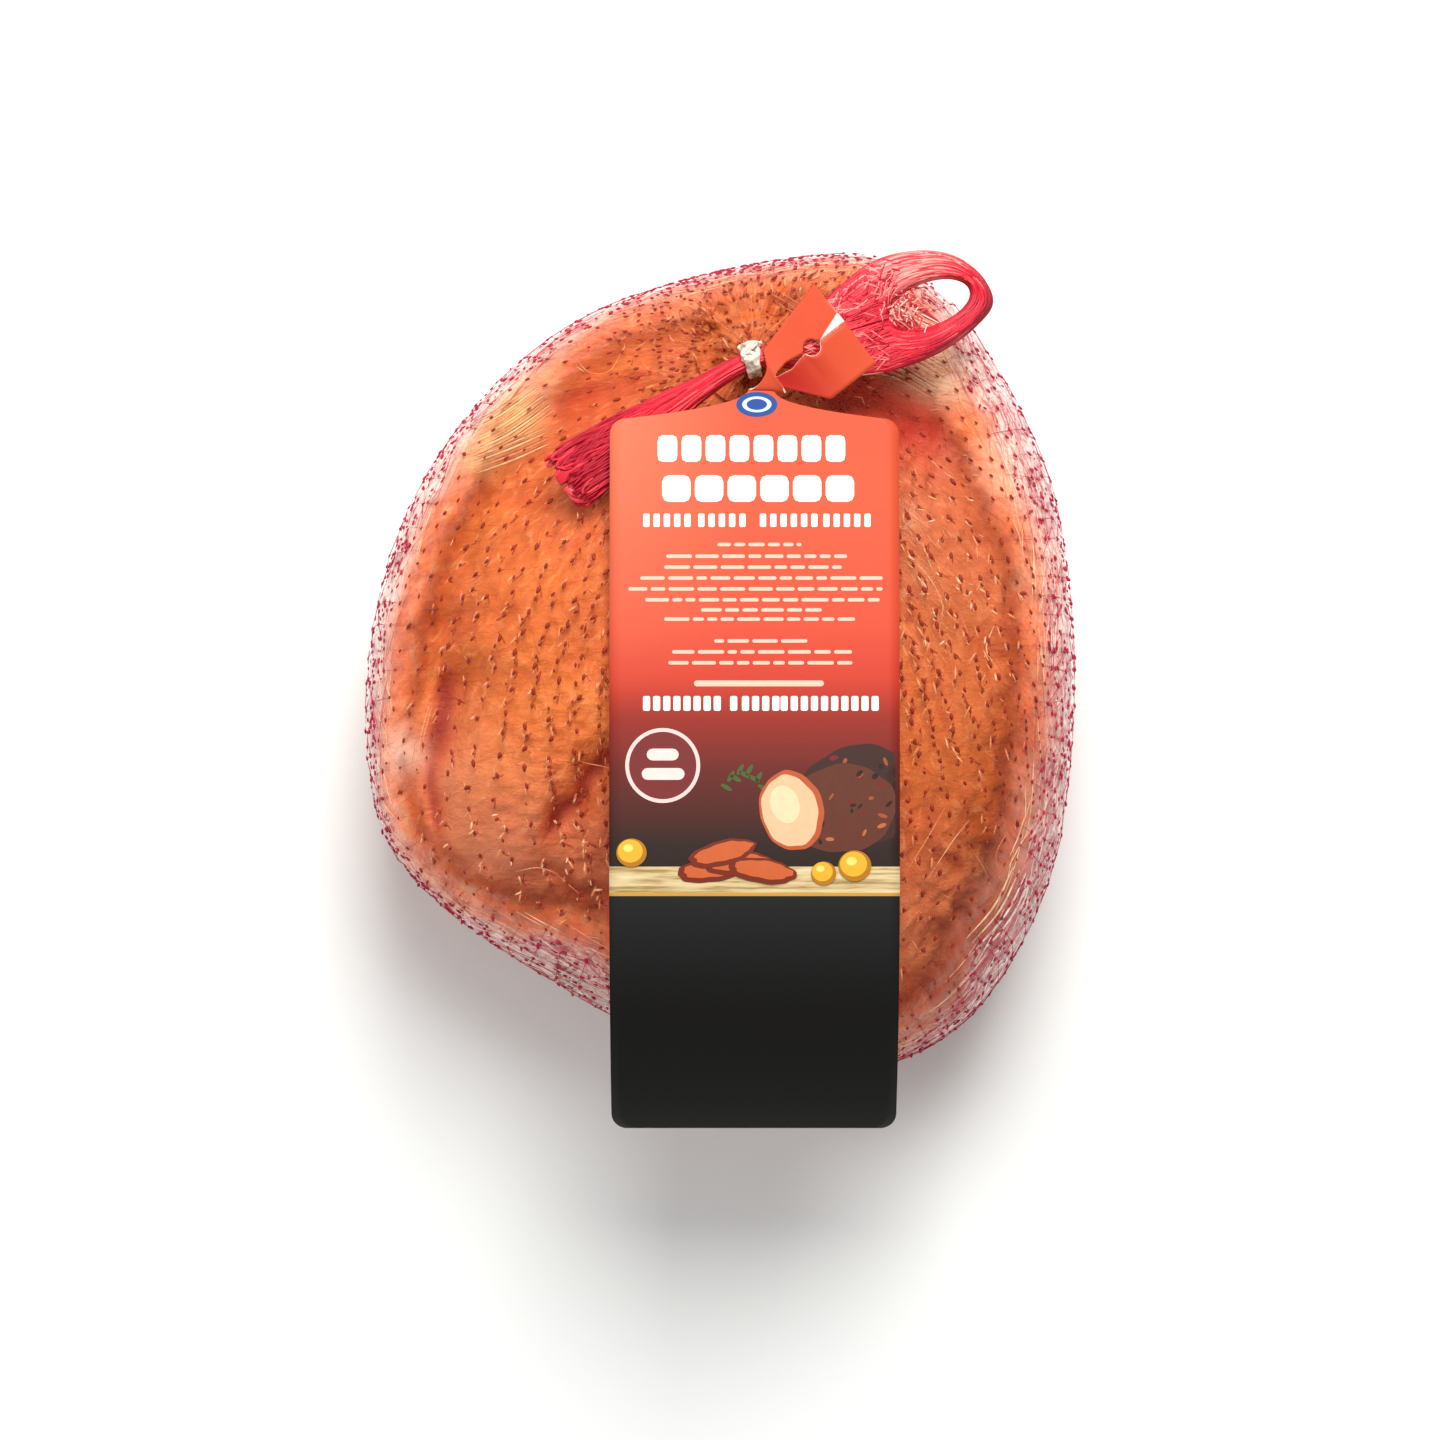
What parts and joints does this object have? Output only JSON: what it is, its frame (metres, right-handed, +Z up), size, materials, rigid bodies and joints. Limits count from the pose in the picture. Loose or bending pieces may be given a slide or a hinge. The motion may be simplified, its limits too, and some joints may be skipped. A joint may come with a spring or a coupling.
{
  "type": "boneless gammon joint",
  "caption": "Rounded cured pork joint in clear film and a knotted red net, drawn up in a metal clip with a tail, a carry loop and a long card tag.",
  "frame": {"origin": "on the table, in the flat spot under the middle of the joint", "axes": "+Z up from the table, +Y towards the clipped end with the carry loop, +X to the right as the tag is read"},
  "size_m": [0.1763, 0.2157, 0.1086],
  "materials": {
    "wrapped_meat": "clear film over smoked pink-orange meat",
    "net": "knotted polyethylene thread, crimson",
    "clip_metal": "bright crimped wire",
    "tag_card": "printed card with a satin varnish"
  },
  "bodies": {
    "root": {"wrapped_joint": "wrapped_meat", "net_tail": "net", "net_loop": "net", "clip": "clip_metal", "tag": "tag_card"}
  },
  "joints": []
}
